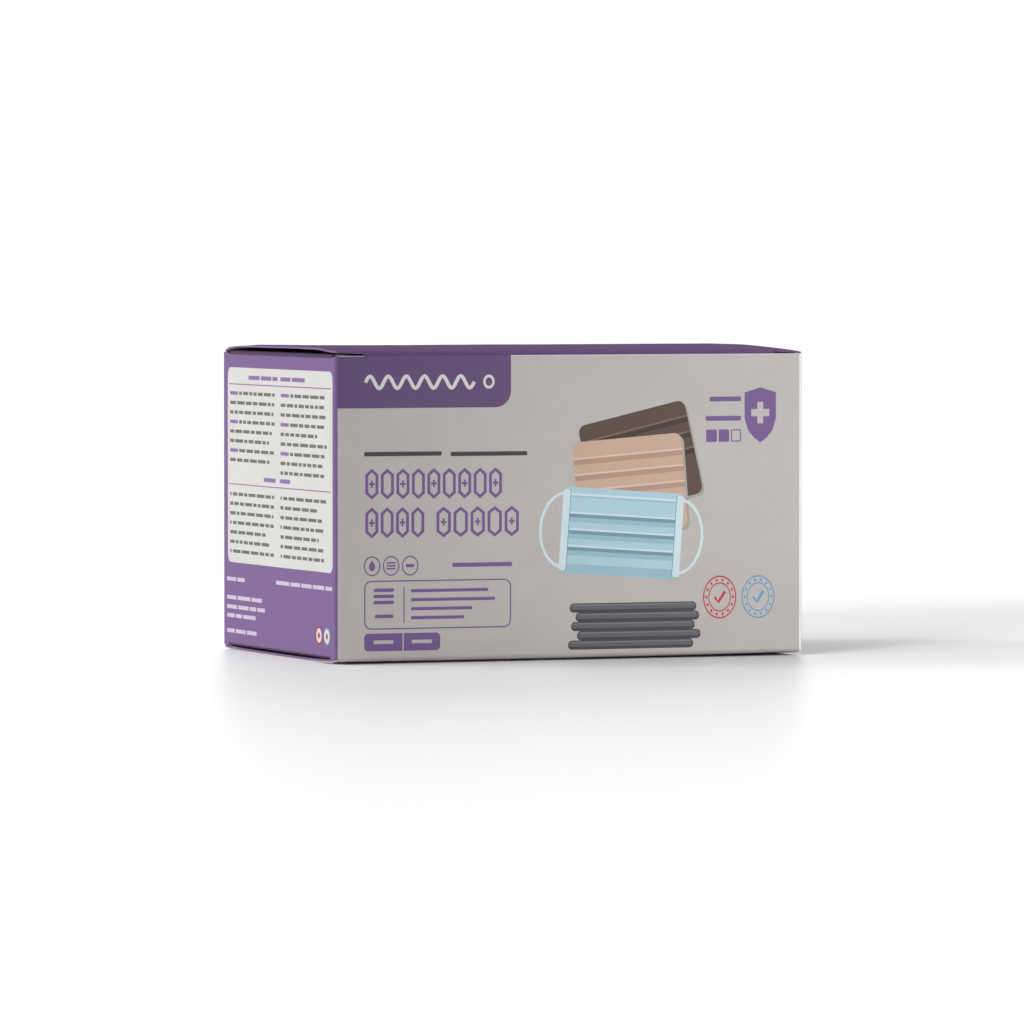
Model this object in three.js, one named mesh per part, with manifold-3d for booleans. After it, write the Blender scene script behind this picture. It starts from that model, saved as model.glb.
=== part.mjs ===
// Reverse tuck end folding carton for a stack of disposable face masks, closed and standing on its base panel.
// Millimetres. +Z is up, +X runs along the width, and the front wall faces -Y.
// The origin is on the floor, under the middle of the carton.
import * as THREE from 'three';
import * as BufferGeometryUtils from 'three/addons/utils/BufferGeometryUtils.js';
import Module from 'manifold-3d';

// Carton, outside
const width = 157;
const depth = 105;
const wallHeight = 94; // bottom crease to top crease
const board = 0.5; // thickness of the paperboard
const gap = 0.3; // between pieces that meet
const creaseRadius = 1; // outside of the vertical creases

// Lid and base panels
const lidBulge = 2.66; // highest point of the lid above the top creases
const baseBulge = 1.6; // depth of the base below the bottom creases
const panelInset = 0.5; // lid and base edges behind the end walls' outer faces
const slitLength = 8.5; // slit locks at both ends of a tuck crease
const hingeRelief = 6; // length of end wall that is cut down beside a panel's hinge

// Tuck flaps
const tuckLength = 18;
const tuckTilt = THREE.MathUtils.degToRad(10); // lean towards the inside
const tuckCornerRadius = 10;

// Dust flaps
const dustLength = 44;
const dustRise = 0.75; // crown of a dust flap towards its panel
const dustHingeInset = 6; // from the wall with the panel's hinge
const dustShoulder = 9; // straight length beside the crease, before the taper
const dustTaper = 12; // width lost on each side at the free end

// Glue flap, inside the right end wall at the back
const glueWidth = 14;
const glueEndInset = 4; // from the top and bottom creases
const glueTaper = 3.5; // further inset at the free edge

// Colours
const printedGrey = { color: 0xbab6b2, roughness: 0.6, metalness: 0 };
const printedPurple = { color: 0x6e5680, roughness: 0.55, metalness: 0 };
const bareBoard = { color: 0xd2cfc8, roughness: 0.85, metalness: 0 };

const { clamp, lerp } = THREE.MathUtils;

const wasm = await Module();
wasm.setup();

// Crown of the lid, from its hinge at the back to its front edge. along is a share of the way to the tuck
// crease, and left, middle and right are shares of lidBulge. pull is how strongly a height keeps to its end.
const lidCrown = [
  { along: 0, left: 0, middle: 0, right: 0, pull: 2 },
  { along: 0.02, left: 0.26, middle: 0.24, right: 0.22, pull: 2 },
  { along: 0.057, left: 0.6, middle: 0.55, right: 0.5, pull: 2 },
  { along: 0.16, left: 0.87, middle: 0.79, right: 0.72, pull: 2 },
  { along: 0.32, left: 1, middle: 0.9, right: 0.84, pull: 2 },
  { along: 0.5, left: 0.98, middle: 0.9, right: 0.84, pull: 2 },
  { along: 0.67, left: 0.94, middle: 0.86, right: 0.73, pull: 2 },
  { along: 0.83, left: 0.86, middle: 0.75, right: 0.57, pull: 2 },
  { along: 0.94, left: 0.76, middle: 0.6, right: 0.42, pull: 3 },
  { along: 0.985, left: 0.68, middle: 0.4, right: 0.34, pull: 6 },
  { along: 1, left: 0.62, middle: 0, right: 0.32, pull: 12 },
];

// Crown of the base, from its hinge at the front to its back edge, as shares of baseBulge.
// It is flat where it rests, and lifts towards the right front corner.
const baseCrown = [
  { along: 0, left: 0, middle: 0, right: 0, pull: 2 },
  { along: 0.02, left: 0.34, middle: 0.42, right: 0.2, pull: 2 },
  { along: 0.057, left: 0.66, middle: 0.76, right: 0.56, pull: 2 },
  { along: 0.16, left: 0.9, middle: 1, right: 0.82, pull: 3 },
  { along: 0.3, left: 1, middle: 1, right: 1, pull: 3 },
  { along: 0.7, left: 1, middle: 1, right: 1, pull: 3 },
  { along: 0.85, left: 0.97, middle: 0.97, right: 0.97, pull: 3 },
  { along: 0.94, left: 0.88, middle: 0.78, right: 0.88, pull: 3 },
  { along: 0.985, left: 0.8, middle: 0.5, right: 0.8, pull: 6 },
  { along: 1, left: 0.75, middle: 0, right: 0.75, pull: 12 },
];

const panelHalfWidth = width / 2 - panelInset;
const tuckCrease = -depth / 2 + board + gap; // behind the wall that the tuck flap goes into
const tuckReach = tuckLength * Math.sin(tuckTilt) + board; // how far its tip stands in
const dustTuckInset = board + gap + tuckReach + 2 * gap; // dust flaps clear a tuck flap by this
const dustCrease = width / 2 - board - gap; // a dust flap's hinge, just inside its end wall

function solid(geometry) {
  const bare = geometry.clone();
  bare.deleteAttribute('normal');
  bare.deleteAttribute('uv');
  const merged = BufferGeometryUtils.mergeVertices(bare, 1e-4);
  const vertProperties = new Float32Array(merged.attributes.position.array);
  const triVerts = new Uint32Array(merged.index.array);
  return new wasm.Manifold(new wasm.Mesh({ numProp: 3, vertProperties, triVerts }));
}

function geometryOf(body) {
  const { vertProperties, triVerts } = body.getMesh();
  const geometry = new THREE.BufferGeometry();
  geometry.setAttribute('position', new THREE.BufferAttribute(vertProperties, 3));
  geometry.setIndex(new THREE.BufferAttribute(triVerts, 1));
  return flatShaded(geometry);
}

function flatShaded(geometry) {
  const faceted = geometry.toNonIndexed();
  faceted.computeVertexNormals();
  return faceted;
}

function named(name, geometry, finish) {
  const mesh = new THREE.Mesh(geometry, new THREE.MeshStandardMaterial(finish));
  mesh.name = name;
  return mesh;
}

function block(x0, x1, y0, y1, z0, z1) {
  const box = new THREE.BoxGeometry(x1 - x0, y1 - y0, z1 - z0);
  return box.translate((x0 + x1) / 2, (y0 + y1) / 2, (z0 + z1) / 2);
}

// A rectangle with rounded corners, drawn counterclockwise round the origin
function roundedRectangle(path, halfX, halfY, radius) {
  path.moveTo(halfX - radius, -halfY);
  path.absarc(halfX - radius, -halfY + radius, radius, -Math.PI / 2, 0);
  path.absarc(halfX - radius, halfY - radius, radius, 0, Math.PI / 2);
  path.absarc(-halfX + radius, halfY - radius, radius, Math.PI / 2, Math.PI);
  path.absarc(-halfX + radius, -halfY + radius, radius, Math.PI, 1.5 * Math.PI);
  path.closePath();
  return path;
}

function sleeveTube() {
  const outline = roundedRectangle(new THREE.Shape(), width / 2, depth / 2, creaseRadius);
  const innerRadius = creaseRadius - board;
  outline.holes.push(roundedRectangle(new THREE.Path(), width / 2 - board, depth / 2 - board, innerRadius));
  return new THREE.ExtrudeGeometry(outline, { depth: wallHeight, bevelEnabled: false, curveSegments: 4 });
}

function glueFlap() {
  const corner = depth / 2 - board / 2;
  const freeEdge = depth / 2 - glueWidth;
  const freeInset = glueEndInset + glueTaper;
  const outline = new THREE.Shape();
  outline.moveTo(corner, glueEndInset);
  outline.lineTo(corner, wallHeight - glueEndInset);
  outline.lineTo(freeEdge, wallHeight - freeInset);
  outline.lineTo(freeEdge, freeInset);
  outline.closePath();
  // Half a board of it is sunk into the end wall, to which it is glued
  const flap = new THREE.ExtrudeGeometry(outline, { depth: 1.5 * board, bevelEnabled: false });
  const alongWall = new THREE.Matrix4().makeBasis(
    new THREE.Vector3(0, 1, 0),
    new THREE.Vector3(0, 0, 1),
    new THREE.Vector3(1, 0, 0),
  );
  return flap.applyMatrix4(alongWall).translate(width / 2 - 2 * board, 0, 0);
}

// What is cut off the back wall and the ends of the end walls to make room for the lid's hinge edge
function hingeCut() {
  const top = wallHeight - board - gap;
  return block(-width, width, depth / 2 - hingeRelief, depth, top, wallHeight + board);
}

function sleeve() {
  const walls = solid(sleeveTube()).add(solid(glueFlap()));
  const lidCut = hingeCut();
  const baseCut = hingeCut().rotateX(Math.PI).translate(0, 0, wallHeight);
  const cut = walls.subtract(solid(lidCut)).subtract(solid(baseCut));
  return named('sleeve', geometryOf(cut), printedGrey);
}

// A closed sheet one board thick. Columns run along +X and rows towards -Y. outerPoint gives the outer face's
// point at a column and row, and covers says which cells the sheet has.
function sheet(columns, rows, outerPoint, covers) {
  const positions = [];
  for (let row = 0; row <= rows; row += 1) {
    for (let column = 0; column <= columns; column += 1) {
      const point = outerPoint(column, row);
      positions.push(point.x, point.y, point.z, point.x, point.y, point.z - board);
    }
  }
  const outer = (column, row) => 2 * (row * (columns + 1) + column);
  const present = (column, row) =>
    column >= 0 && row >= 0 && column < columns && row < rows && covers(column, row);
  const index = [];
  for (let row = 0; row < rows; row += 1) {
    for (let column = 0; column < columns; column += 1) {
      if (!present(column, row)) continue;
      const ring = [
        { vertex: outer(column, row), beside: [column - 1, row] },
        { vertex: outer(column, row + 1), beside: [column, row + 1] },
        { vertex: outer(column + 1, row + 1), beside: [column + 1, row] },
        { vertex: outer(column + 1, row), beside: [column, row - 1] },
      ];
      const [a, b, c, d] = ring.map((corner) => corner.vertex);
      index.push(a, b, c, a, c, d);
      index.push(a + 1, c + 1, b + 1, a + 1, d + 1, c + 1);
      ring.forEach(({ vertex, beside }, side) => {
        if (present(...beside)) return;
        const next = ring[(side + 1) % ring.length].vertex;
        index.push(next, vertex, vertex + 1, next, vertex + 1, next + 1);
      });
    }
  }
  const geometry = new THREE.BufferGeometry();
  geometry.setAttribute('position', new THREE.Float32BufferAttribute(positions, 3));
  geometry.setIndex(index);
  return flatShaded(geometry);
}

function crownHeight(section, share, bulge) {
  const end = share < 0 ? section.left : section.right;
  return bulge * (section.middle + (end - section.middle) * Math.abs(share) ** section.pull);
}

// The lid or base in its own frame: z is 0 at the creases and grows outwards, and the hinge is at +depth/2.
// Its last row is the two ears beside the slits, which lie over the wall's raw edge.
function panel(name, crown, bulge) {
  const middleColumns = 12;
  const columns = middleColumns + 2;
  const rows = crown.length;
  const middleStart = -panelHalfWidth + slitLength;
  const across = (column) => {
    if (column === 0) return -panelHalfWidth;
    if (column === columns) return panelHalfWidth;
    return lerp(middleStart, -middleStart, (column - 1) / middleColumns);
  };
  const outerPoint = (column, row) => {
    const section = crown[Math.min(row, crown.length - 1)];
    const x = across(column);
    const y = row === rows ? -depth / 2 : lerp(depth / 2, tuckCrease, section.along);
    return { x, y, z: crownHeight(section, clamp(x / -middleStart, -1, 1), bulge) };
  };
  const covers = (column, row) => row < rows - 1 || column === 0 || column === columns - 1;
  return named(name, sheet(columns, rows, outerPoint, covers), printedPurple);
}

// A flat flap with two rounded corners. It hangs from its crease at the wall's raw edge and leans inwards.
function tuckFlap(name) {
  const half = dustCrease - board - gap;
  const top = -board - gap;
  const radius = tuckCornerRadius;
  const outline = new THREE.Shape();
  outline.moveTo(half, top);
  outline.lineTo(-half, top);
  outline.lineTo(-half, -tuckLength + radius);
  outline.absarc(-half + radius, -tuckLength + radius, radius, Math.PI, 1.5 * Math.PI);
  outline.absarc(half - radius, -tuckLength + radius, radius, 1.5 * Math.PI, 2 * Math.PI);
  outline.closePath();
  const plate = new THREE.ExtrudeGeometry(outline, { depth: board, bevelEnabled: false, curveSegments: 6 });
  plate.rotateX(Math.PI / 2).translate(0, board, 0);
  const mesh = named(name, plate, printedPurple);
  mesh.position.set(0, tuckCrease, 0);
  mesh.rotation.x = tuckTilt;
  return mesh;
}

// A dust flap in the same frame as its panel. side is -1 for the left end and 1 for the right.
function dustFlap(name, side) {
  const columns = 8;
  const rows = 6;
  const hingeEdge = depth / 2 - dustHingeInset;
  const tuckEdge = -depth / 2 + dustTuckInset;
  const outerPoint = (column, row) => {
    const along = (side < 0 ? column : columns - column) / columns;
    const reach = along * dustLength;
    const taper = dustTaper * Math.max(0, (reach - dustShoulder) / (dustLength - dustShoulder));
    const share = row / rows;
    const y = lerp(hingeEdge - taper, tuckEdge + taper, share);
    const z = dustRise * along * Math.sin(Math.PI * share);
    return { x: side * (dustCrease - reach), y, z };
  };
  return named(name, sheet(columns, rows, outerPoint, () => true), bareBoard);
}

function closure(panelName, flapPrefix, tuckName, crown, bulge) {
  const group = new THREE.Group();
  group.add(panel(panelName, crown, bulge));
  group.add(tuckFlap(tuckName));
  group.add(dustFlap(`${flapPrefix}_left`, -1));
  group.add(dustFlap(`${flapPrefix}_right`, 1));
  return group;
}

const carton = new THREE.Group();
const walls = sleeve();
walls.position.z = baseBulge;
carton.add(walls);

const lid = closure('lid_panel', 'top_dust_flap', 'lid_tuck_flap', lidCrown, lidBulge);
lid.position.z = baseBulge + wallHeight;
carton.add(lid);

// The base is the same closure turned over, so that it hinges on the front wall
const base = closure('base_panel', 'base_dust_flap', 'base_tuck_flap', baseCrown, baseBulge);
base.rotation.x = Math.PI;
base.position.z = baseBulge;
carton.add(base);

export default carton;
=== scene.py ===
import math
import random
from collections import namedtuple

import bmesh
import bpy
from mathutils import Matrix, Vector, noise
from mathutils.geometry import delaunay_2d_cdt


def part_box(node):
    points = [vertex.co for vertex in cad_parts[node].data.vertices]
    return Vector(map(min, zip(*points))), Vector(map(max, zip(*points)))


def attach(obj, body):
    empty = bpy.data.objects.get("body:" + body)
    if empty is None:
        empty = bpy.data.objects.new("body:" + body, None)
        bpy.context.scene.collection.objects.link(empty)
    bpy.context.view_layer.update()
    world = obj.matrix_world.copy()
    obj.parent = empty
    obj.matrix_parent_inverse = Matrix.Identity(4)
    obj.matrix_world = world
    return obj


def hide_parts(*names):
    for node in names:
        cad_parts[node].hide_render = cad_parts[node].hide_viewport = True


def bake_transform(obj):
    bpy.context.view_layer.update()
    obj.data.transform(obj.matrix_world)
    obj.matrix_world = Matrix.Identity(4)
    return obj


# A closed reverse tuck end carton of printed paperboard, standing on its base panel.
# Lengths are millimetres until an object is made. +Z is up, +X is the front wall's right, and it faces -Y.

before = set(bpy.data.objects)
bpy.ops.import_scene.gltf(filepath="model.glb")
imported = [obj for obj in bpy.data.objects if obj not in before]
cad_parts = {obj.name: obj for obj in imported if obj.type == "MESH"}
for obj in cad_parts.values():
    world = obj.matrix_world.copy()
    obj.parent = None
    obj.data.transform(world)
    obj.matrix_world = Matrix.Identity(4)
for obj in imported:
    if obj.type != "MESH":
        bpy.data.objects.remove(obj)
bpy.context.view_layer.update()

MM = 0.001
UP = Vector((0, 0, 1))

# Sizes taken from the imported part
sleeve_low, sleeve_high = (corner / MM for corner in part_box("sleeve"))
WIDTH = sleeve_high.x - sleeve_low.x
DEPTH = sleeve_high.y - sleeve_low.y
BOTTOM = sleeve_low.z  # height of the bottom creases, which is also how far the base bulges
TOP = sleeve_high.z  # height of the top creases
HEIGHT = TOP - BOTTOM
LID_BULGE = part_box("lid_panel")[1].z / MM - TOP
PANEL_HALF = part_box("lid_panel")[1].x / MM
TUCK_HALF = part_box("lid_tuck_flap")[1].x / MM

# The board and its creases
BOARD = 0.5
CREASE_RADIUS = 1.0
CREASE_INSET = 1.0  # a sheet ends this far from the corner line, where its crease begins
DUST_INSET = 0.8  # the same for the dust flaps' creases
CREASE_STEPS = 12
GROOVE = 0.07  # depth of the scored line along a crease
GROOVE_SHARE = 0.12  # its half width, as a share of the bend

# Lid and base panels
SLIT = 8.5
TUCK_CREASE = -DEPTH / 2 + 0.8
TUCK_LENGTH = 18.0
TUCK_TOP = 0.8
TUCK_TILT = math.radians(10)
TUCK_CORNER = 10.0
ROLL_START = -DEPTH / 2 + 1.8  # where the panel begins to roll down into its tuck flap
EAR_REST = 0.56  # height of an ear's tip that lies on a wall's edge
EAR_LIFT = 0.95  # the same beside its slit
EAR_BEGINS = 44.0  # how far in front of the middle
PANEL_OVERHANG = 0.2  # how far the panels' cut ends stand out past their plain solids

# Dust flaps
DUST_HINGE_EDGE = DEPTH / 2 - 6
DUST_TUCK_EDGE = -DEPTH / 2 + 5.03
DUST_LENGTH = 44.0
DUST_RISE = 0.75
DUST_CREST = 0.45  # how far a top dust flap stands up beside its crease
DUST_CREST_RUN = (2, 10)  # from where to where it falls away
DUST_SHOULDER = 9.0
DUST_TAPER = 12.0
DUST_BLEED = 14.0  # printed margin beside a dust flap's crease, in the crease's darker purple, which is painted shade
HINGE_BLEED = 2.5  # the same on a panel beside its hinge
END_BLEED = 0.25  # and along its cut ends

# Glue flap, behind the right end wall
GLUE_RUN = 13.0
GLUE_INSET = 4.0
GLUE_TAPER = 3.5

Section = namedtuple("Section", "along left middle right pull droop")

# Crown of the lid from its hinge to its tuck crease, as shares of its bulge. pull is how strongly a height
# keeps to its end, and droop how far the cut edge at the left hangs.
LID_CROWN = [
    Section(0, 0, 0, 0, 2, 0),
    Section(0.02, 0.34, 0.26, 0.22, 2, 0.04),
    Section(0.057, 0.72, 0.55, 0.5, 3, 0.12),
    Section(0.16, 0.96, 0.76, 0.72, 4, 0.18),
    Section(0.32, 1, 0.81, 0.84, 4, 0.17),
    Section(0.5, 0.98, 0.83, 0.84, 4, 0.12),
    Section(0.67, 0.94, 0.81, 0.73, 4, 0.05),
    Section(0.83, 0.9, 0.73, 0.54, 4, 0.05),
    Section(0.94, 0.76, 0.6, 0.36, 4, 0.17),
    Section(0.985, 0.68, 0.4, 0.24, 4, 0.12),
    Section(1, 0.62, 0, 0.21, 4, 0.08),
]
BASE_CROWN = [
    Section(0, 0, 0, 0, 2, 0),
    Section(0.02, 0.34, 0.42, 0.2, 2, 0),
    Section(0.057, 0.66, 0.76, 0.56, 2, 0),
    Section(0.16, 0.9, 1, 0.82, 3, 0),
    Section(0.3, 1, 1, 1, 3, 0),
    Section(0.7, 1, 1, 1, 3, 0),
    Section(0.85, 0.97, 0.97, 0.97, 3, 0),
    Section(0.94, 0.82, 0.78, 0.88, 3, 0),
    Section(0.985, 0.7, 0.5, 0.8, 6, 0),
    Section(1, 0.62, 0, 0.75, 8, 0),
]
DROOP_RUN = 7.0  # how far from the cut edge the droop begins

# The camera stands where the photograph was taken from
CAMERA_PLACE = (-0.9277, -2.3386, 0.13302)
CAMERA_YAW = math.radians(21.648)
CAMERA_DOWN = math.radians(2.010)
CAMERA_LENS = 277.6


def clamp(value, low, high):
    return max(low, min(high, value))


def lerp(a, b, share):
    return a + (b - a) * share


def smooth(value, low, high):
    share = clamp((value - low) / (high - low), 0.0, 1.0)
    return share * share * (3 - 2 * share)


def linear(red, green, blue):
    """A colour given as 0 to 255 on a screen, as the renderer's linear values."""

    def one(value):
        value /= 255
        return value / 12.92 if value <= 0.04045 else ((value + 0.055) / 1.055) ** 2.4

    return one(red), one(green), one(blue), 1.0


# Materials

FIBRE_SCALE = 1500
PATCH_SCALE = 70
FIBRE_SHARE = 0.45  # the fibres' part in the uneven tint, beside the patches'
ROUGHNESS_SPREAD = 0.06


def board_material(name, colour, roughness=0.55, mottle=0.05, grain=0.00004, specular=0.25):
    """Paperboard with fibres under its ink: fine grain in the surface, and patches of uneven ink."""
    material = bpy.data.materials.new(name)
    material.use_nodes = True
    nodes, links = material.node_tree.nodes, material.node_tree.links
    shader = nodes["Principled BSDF"]
    shader.inputs["Specular IOR Level"].default_value = specular
    place = nodes.new("ShaderNodeTexCoord")

    def texture(scale, detail, stretch=(1, 1, 1)):
        mapping = nodes.new("ShaderNodeMapping")
        mapping.inputs["Scale"].default_value = stretch
        links.new(place.outputs["Object"], mapping.inputs["Vector"])
        field = nodes.new("ShaderNodeTexNoise")
        field.inputs["Scale"].default_value = scale
        field.inputs["Detail"].default_value = detail
        links.new(mapping.outputs["Vector"], field.inputs["Vector"])
        return field.outputs["Fac"]

    fibres = texture(FIBRE_SCALE, 3, (1, 1, 0.6))
    patches = texture(PATCH_SCALE, 4)
    weighted = nodes.new("ShaderNodeMath")
    weighted.operation = "MULTIPLY"
    weighted.inputs[1].default_value = 1 - FIBRE_SHARE
    links.new(patches, weighted.inputs[0])
    both = nodes.new("ShaderNodeMath")
    both.operation = "MULTIPLY_ADD"
    both.inputs[1].default_value = FIBRE_SHARE
    links.new(fibres, both.inputs[0])
    links.new(weighted.outputs[0], both.inputs[2])
    tint = nodes.new("ShaderNodeValToRGB")
    darker, lighter = tint.color_ramp.elements
    darker.position, lighter.position = 0.3, 0.7
    base = linear(*colour)
    darker.color = (*(channel * (1 - mottle) for channel in base[:3]), 1)
    lighter.color = (*(min(1.0, channel * (1 + mottle)) for channel in base[:3]), 1)
    links.new(both.outputs[0], tint.inputs["Fac"])
    links.new(tint.outputs["Color"], shader.inputs["Base Color"])
    polish = nodes.new("ShaderNodeMapRange")
    polish.inputs["To Min"].default_value = roughness - ROUGHNESS_SPREAD
    polish.inputs["To Max"].default_value = roughness + ROUGHNESS_SPREAD
    links.new(patches, polish.inputs["Value"])
    links.new(polish.outputs["Result"], shader.inputs["Roughness"])
    bump = nodes.new("ShaderNodeBump")
    bump.inputs["Distance"].default_value = grain
    links.new(fibres, bump.inputs["Height"])
    links.new(bump.outputs["Normal"], shader.inputs["Normal"])
    return material


INK_COLOURS = {
    "grey_ink": (191, 186, 183),
    "grey_shade_ink": (166, 161, 158),
    "purple_ink": (103, 79, 122),
    "end_purple_ink": (134, 103, 157),
    "lid_edge_ink": (142, 116, 160),
    # painted shade: a darker purple for the dust flaps' creases and the margins beside them, which lie in the
    # gaps under the lid and over the base
    "crease_painted_shade_ink": (84, 64, 94),
    # painted shade: a darker purple strip on the left end wall along its front crease
    "corner_painted_shade_ink": (112, 85, 134),
    # painted highlight: a near-white strip along the front wall's right crease
    "corner_painted_highlight_ink": (246, 244, 242),
    "title_ink": (118, 91, 146),
    "charcoal_ink": (70, 69, 70),
    "light_ink": (222, 219, 217),
    "end_light_ink": (218, 206, 226),
    "label_ink": (230, 229, 225),
    "label_grey_ink": (120, 117, 120),
    "label_purple_ink": (150, 120, 178),
    "red_ink": (196, 50, 62),
    "blue_ink": (98, 158, 196),
    "mask_ink": (176, 209, 221),
    "mask_light_ink": (208, 228, 234),
    "mask_shade_ink": (154, 191, 205),
    "mask_fold_ink": (116, 156, 172),
    "brown_ink": (92, 74, 66),
    "brown_light_ink": (124, 103, 91),
    "brown_dark_ink": (72, 57, 50),
    "tan_ink": (204, 172, 152),
    "tan_light_ink": (224, 197, 180),
    "tan_dark_ink": (184, 150, 130),
    "slate_ink": (100, 100, 104),
    "slate_light_ink": (126, 126, 130),
    "slate_dark_ink": (70, 70, 75),
}
INKS = {name: board_material(name, colour) for name, colour in INK_COLOURS.items()}
INKS["lid_ink"] = board_material("lid_ink", (109, 82, 128), roughness=0.72, specular=0.08)
RAW = board_material(
    "raw_board_edge", (214, 208, 206), roughness=0.85, mottle=0.09, grain=0.00008, specular=0.2,
)
INKS["raw"] = RAW
INSIDE = board_material("inside_board", (206, 202, 194), roughness=0.8, mottle=0.07, grain=0.00006)


# Outlines, as lists of (across, height) points


def rectangle(left, low, right, high, radius=0.0, round_corners=(True, True, True, True)):
    """A rectangle, counterclockwise from its lower left corner, with some corners rounded."""
    corners = [
        (left, low, 1, 1, 180),
        (right, low, -1, 1, 270),
        (right, high, -1, -1, 0),
        (left, high, 1, -1, 90),
    ]
    points = []
    for (x, y, inward_x, inward_y, start), rounded in zip(corners, round_corners):
        if not rounded or radius <= 0:
            points.append((x, y))
            continue
        for step in range(7):
            angle = math.radians(start + 15 * step)
            middle_x, middle_y = x + inward_x * radius, y + inward_y * radius
            points.append((middle_x + radius * math.cos(angle), middle_y + radius * math.sin(angle)))
    return points


def oval(x, y, half_wide, half_tall, points=36):
    angles = (2 * math.pi * step / points for step in range(points))
    return [(x + half_wide * math.cos(angle), y + half_tall * math.sin(angle)) for angle in angles]


def placed(points, x, y, degrees=0.0):
    """Points turned about the origin and then moved to (x, y)."""
    c, s = math.cos(math.radians(degrees)), math.sin(math.radians(degrees))
    return [(x + c * px - s * py, y + s * px + c * py) for px, py in points]


def centred(x, y, half_wide, half_tall, radius=0.0):
    """A rectangle about the middle (x, y)."""
    return placed(rectangle(-half_wide, -half_tall, half_wide, half_tall, radius), x, y)


def mirrored(points):
    return [(-x, y) for x, y in points]


def band(centre_line, thickness):
    """A line of even thickness along some points."""
    left, right = [], []
    for index, point in enumerate(centre_line):
        before = centre_line[max(index - 1, 0)]
        after = centre_line[min(index + 1, len(centre_line) - 1)]
        run, rise = after[0] - before[0], after[1] - before[1]
        length = math.hypot(run, rise)
        shift_x, shift_y = -rise / length * thickness / 2, run / length * thickness / 2
        left.append((point[0] + shift_x, point[1] + shift_y))
        right.append((point[0] - shift_x, point[1] - shift_y))
    return left + right[::-1]


def framed(line_ink, paper_ink, left, low, right, high, radius, line):
    """A rounded frame: a filled outline with the paper's colour inside it."""
    return [
        (line_ink, rectangle(left, low, right, high, radius)),
        (paper_ink, rectangle(left + line, low + line, right - line, high - line, radius - line)),
    ]


def bar(ink, left, right, middle, tall):
    return (ink, rectangle(left, middle - tall / 2, right, middle + tall / 2, 0.3 * tall))


def words(ink, left, right, middle, tall, draw, shortest=3.0, longest=8.0, space=1.1):
    """A line of print too small to read, as one bar for each word."""
    made, start = [], left
    while start < right - shortest / 2:
        end = min(right, start + draw.uniform(shortest, longest))
        made.append((ink, rectangle(start, middle - tall / 2, end, middle + tall / 2)))
        start = end + space
    return made


def rosette(ink, paper, x, y, half_wide, half_tall, centre_ink):
    """A round stamp: two rings with dots between them, and a tick in the middle."""
    shapes = []
    for share, layer in ((1.0, ink), (0.93, paper), (0.68, ink), (0.62, paper)):
        shapes.append((layer, oval(x, y, half_wide * share, half_tall * share)))
    dots = 14
    for step in range(dots):
        angle = 2 * math.pi * step / dots
        middle = (x + 0.8 * half_wide * math.cos(angle), y + 0.8 * half_tall * math.sin(angle))
        shapes.append((ink, oval(*middle, 0.07 * half_wide, 0.07 * half_tall, 8)))
    tick = [(-0.3, 0.0), (-0.08, -0.24), (0.32, 0.26)]
    line = [(x + px * half_wide, y + py * half_tall) for px, py in tick]
    shapes.append((centre_ink, band(line, 0.16 * half_wide)))
    return shapes


# Prints on the front wall. Across is from its left edge, and height from its bottom edge.


def pleated_mask(x, y, degrees):
    """A folded face mask seen flat: ear loops, pleats, side bindings and the line of its nose strip."""
    half_wide, half_tall = 20.5, 13.5

    def loop(side):
        angles = [math.radians(84 - 14 * step) for step in range(13)]
        return [
            (side * (half_wide - 1.5 + 8.5 * math.cos(angle)), (half_tall - 1.8) * math.sin(angle))
            for angle in angles
        ]

    def strip(ink, low, high, inset=0.0, radius=0.0):
        return (ink, rectangle(-half_wide + inset, low, half_wide - inset, high, radius))

    shapes = [("mask_light_ink", band(loop(side), 0.9)) for side in (-1, 1)]
    shapes.append(strip("mask_ink", -half_tall, half_tall, 0, 2.2))
    shapes.append(strip("mask_shade_ink", -half_tall, -half_tall + 3.0, 0.4, 1.5))
    for fold in (5.2, 0.0, -5.2):
        shapes.append(strip("mask_shade_ink", fold - 2.6, fold))
        shapes.append(strip("mask_fold_ink", fold - 1.1, fold))
        shapes.append(strip("mask_light_ink", fold, fold + 0.6))
    shapes.append(strip("mask_light_ink", half_tall - 2.6, half_tall - 1.9, 1))
    shapes.append(strip("mask_shade_ink", half_tall - 3.1, half_tall - 2.6, 1))
    low, high = -half_tall + 0.8, half_tall - 0.8
    for side in (-1, 1):
        inner, outer = sorted((side * (half_wide - 2.4), side * half_wide))
        seam = side * (half_wide - 2.5)
        shapes.append(("mask_light_ink", rectangle(inner, low, outer, high, 0.8)))
        shapes.append(("mask_fold_ink", rectangle(seam - 0.12, low, seam + 0.12, high)))
    return [(ink, placed(points, x, y, degrees)) for ink, points in shapes]


def fanned_layer(inks, x, y, degrees):
    """One layer of a mask, with a soft shadow beside it and its pleats' lit and shaded edges."""
    ink, lit_ink, shaded_ink = inks
    outline = rectangle(-18.5, -15, 18.5, 15, 2.5)
    shapes = [("grey_shade_ink", placed(outline, x + 0.8, y - 0.7, degrees))]
    shapes.append((ink, placed(outline, x, y, degrees)))
    for line in (9.5, 4.5, -0.5):
        for strip_ink, low, high in ((shaded_ink, -1.6, 0.0), (lit_ink, 0.0, 0.55)):
            strip = rectangle(-18.5, line + low, 18.5, line + high)
            shapes.append((strip_ink, placed(strip, x, y, degrees)))
    return shapes


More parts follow.
